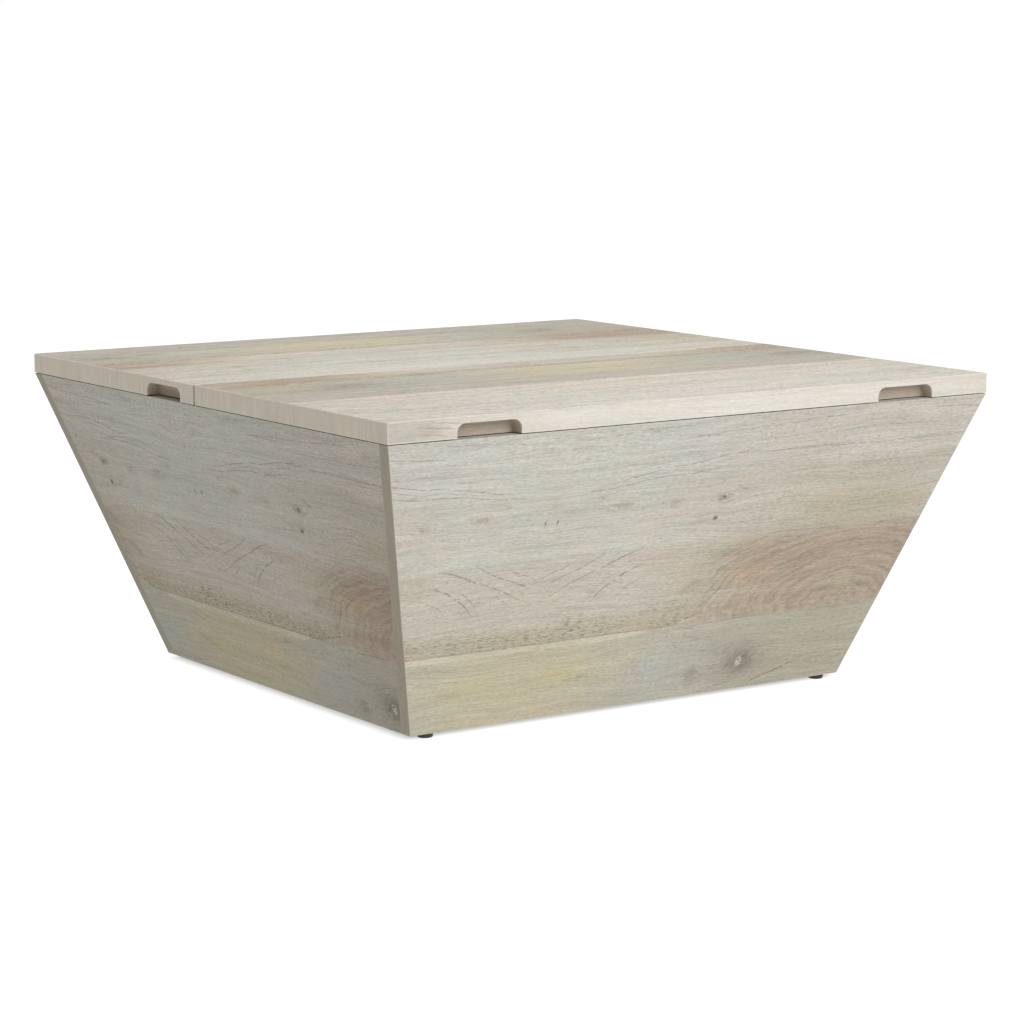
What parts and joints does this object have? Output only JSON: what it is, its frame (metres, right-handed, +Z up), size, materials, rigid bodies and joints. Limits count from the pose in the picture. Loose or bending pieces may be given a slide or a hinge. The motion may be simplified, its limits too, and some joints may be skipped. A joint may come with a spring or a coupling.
{
  "type": "lift-top coffee table",
  "caption": "Square storage coffee table with tapering panelled sides, a rear half lid that flips up on barrel hinges and a front half lid that rises level on a parallel-arm lift fitting.",
  "frame": {"origin": "on the floor, under the middle of the square top", "axes": "+X to the right of someone facing the front, +Y to the back, +Z up; millimetres in the source, metres here"},
  "size_m": [0.914, 0.9204, 0.4123],
  "materials": {
    "whitewashed_wood": "satin",
    "inner_wood": "satin",
    "dowel_wood": "matte",
    "painted_steel": "satin",
    "zinc_steel": "satin",
    "polished_steel": "gloss",
    "glide_plastic": "matte",
    "bumper_rubber": "matte"
  },
  "bodies": {
    "carcass": {"front_panel": "whitewashed_wood", "rear_panel": "whitewashed_wood", "left_panel": "whitewashed_wood", "right_panel": "whitewashed_wood", "bottom_panel": "inner_wood", "centre_divider": "inner_wood", "corner_dowels": "dowel_wood", "glide_nails": "zinc_steel", "lid_bumpers": "bumper_rubber", "hinge_body_screws": "zinc_steel", "lift_base_screws": "zinc_steel", "glide_front_left": "glide_plastic", "glide_front_right": "glide_plastic", "glide_rear_left": "glide_plastic", "glide_rear_right": "glide_plastic", "left_hinge_body_leaf": "zinc_steel", "left_hinge_pin": "zinc_steel", "middle_hinge_body_leaf": "zinc_steel", "middle_hinge_pin": "zinc_steel", "right_hinge_body_leaf": "zinc_steel", "right_hinge_pin": "zinc_steel", "left_lift_cleat": "inner_wood", "left_lift_base": "painted_steel", "left_base_rivets": "zinc_steel", "left_stop_stud": "zinc_steel", "left_gas_tube": "painted_steel", "left_gas_anchor": "zinc_steel", "right_lift_cleat": "inner_wood", "right_lift_base": "painted_steel", "right_base_rivets": "zinc_steel", "right_stop_stud": "zinc_steel", "right_gas_tube": "painted_steel", "right_gas_anchor": "zinc_steel"},
    "rear_lid": {"rear_lid": "whitewashed_wood", "hinge_lid_screws": "zinc_steel", "left_hinge_lid_leaf": "zinc_steel", "middle_hinge_lid_leaf": "zinc_steel", "right_hinge_lid_leaf": "zinc_steel"},
    "front_lid": {"front_lid": "whitewashed_wood", "lid_rail_screws": "zinc_steel", "left_lid_rail": "painted_steel", "left_rail_rivets": "zinc_steel", "right_lid_rail": "painted_steel", "right_rail_rivets": "zinc_steel"},
    "left_rear_arm": {"left_rear_arm": "painted_steel"},
    "left_front_arm": {"left_front_arm": "painted_steel"},
    "left_gas_rod": {"left_gas_rod": "polished_steel", "left_gas_pin": "zinc_steel"},
    "right_rear_arm": {"right_rear_arm": "painted_steel"},
    "right_front_arm": {"right_front_arm": "painted_steel"},
    "right_gas_rod": {"right_gas_rod": "polished_steel", "right_gas_pin": "zinc_steel"}
  },
  "joints": [
    {"name": "rear_lid_hinge", "type": "hinge", "parent": "carcass", "child": "rear_lid", "pos_m": [0, 0.4604, 0.3862], "axis": [-1, 0, 0], "range_deg": [0, 95]},
    {"name": "lift", "type": "hinge", "parent": "carcass", "child": "left_rear_arm", "pos_m": [-0.37636, -0.25094, 0.2948], "axis": [1, 0, 0], "range_deg": [0, 112]},
    {"name": "lid_level", "type": "hinge", "parent": "left_rear_arm", "child": "front_lid", "pos_m": [-0.37636, -0.033, 0.3248], "axis": [1, 0, 0], "range_deg": [-112, 0]},
    {"name": "left_front_arm_pivot", "type": "hinge", "parent": "carcass", "child": "left_front_arm", "pos_m": [-0.37636, -0.33094, 0.3348], "axis": [1, 0, 0], "range_deg": [0, 112]},
    {"name": "right_rear_arm_pivot", "type": "hinge", "parent": "carcass", "child": "right_rear_arm", "pos_m": [0.37636, -0.25094, 0.2948], "axis": [1, 0, 0], "range_deg": [0, 112]},
    {"name": "right_front_arm_pivot", "type": "hinge", "parent": "carcass", "child": "right_front_arm", "pos_m": [0.37636, -0.33094, 0.3348], "axis": [1, 0, 0], "range_deg": [0, 112]},
    {"name": "left_rod_slide", "type": "slide", "parent": "carcass", "child": "left_gas_rod", "axis": [0, -0.9848, 0.1736], "range_m": [0, 0.04312]},
    {"name": "right_rod_slide", "type": "slide", "parent": "carcass", "child": "right_gas_rod", "axis": [0, -0.9848, 0.1736], "range_m": [0, 0.04312]}
  ],
  "couplings": [
    {"joint": "lid_level", "follows": "lift", "ratio": -1},
    {"joint": "left_front_arm_pivot", "follows": "lift", "ratio": 1},
    {"joint": "right_rear_arm_pivot", "follows": "lift", "ratio": 1},
    {"joint": "right_front_arm_pivot", "follows": "lift", "ratio": 1},
    {"joint": "left_rod_slide", "follows": "lift", "m_per_rad": 0.022054},
    {"joint": "right_rod_slide", "follows": "lift", "m_per_rad": 0.022054}
  ]
}
